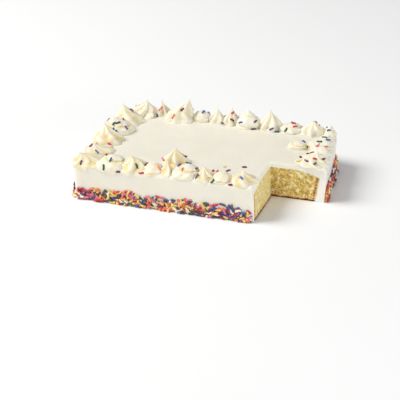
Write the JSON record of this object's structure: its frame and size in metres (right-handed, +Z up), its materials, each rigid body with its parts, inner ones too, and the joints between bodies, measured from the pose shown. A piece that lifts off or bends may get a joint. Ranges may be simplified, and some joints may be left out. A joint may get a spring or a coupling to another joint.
{
  "type": "sheet cake",
  "caption": "Rectangular iced sheet cake with one corner slice cut out, yellow sponge showing, a piped dollop border and a sprinkle band round the foot.",
  "frame": {"origin": "on the ground under the middle of the cake", "axes": "+X along the cake's long side, +Y to its back, +Z up; the slice is missing from the front right corner (+X, -Y)"},
  "size_m": [0.3526, 0.24, 0.0883],
  "materials": {
    "sponge": "open yellow crumb, browned at the foot and the sides, fully matte",
    "icing": "smooth cream icing with a faint soft sheen",
    "dollops": "piped whipped icing, a shade lighter than the flat icing",
    "sprinkles": "small sugar rods in red, orange, yellow, green, blue, purple, pink and white, slightly glossy"
  },
  "bodies": {
    "root": {"sponge": "sponge", "icing": "icing", "dollop_01": "dollops", "dollop_02": "dollops", "dollop_03": "dollops", "dollop_04": "dollops", "dollop_05": "dollops", "dollop_06": "dollops", "dollop_07": "dollops", "dollop_08": "dollops", "dollop_09": "dollops", "dollop_10": "dollops", "dollop_11": "dollops", "dollop_12": "dollops", "dollop_13": "dollops", "dollop_14": "dollops", "dollop_15": "dollops", "dollop_16": "dollops", "dollop_17": "dollops", "dollop_18": "dollops", "dollop_19": "dollops", "dollop_20": "dollops", "dollop_21": "dollops", "dollop_22": "dollops", "dollop_23": "dollops", "dollop_24": "dollops", "dollop_25": "dollops", "dollop_26": "dollops", "dollop_27": "dollops", "dollop_28": "dollops", "dollop_29": "dollops", "dollop_30": "dollops"}
  },
  "joints": []
}
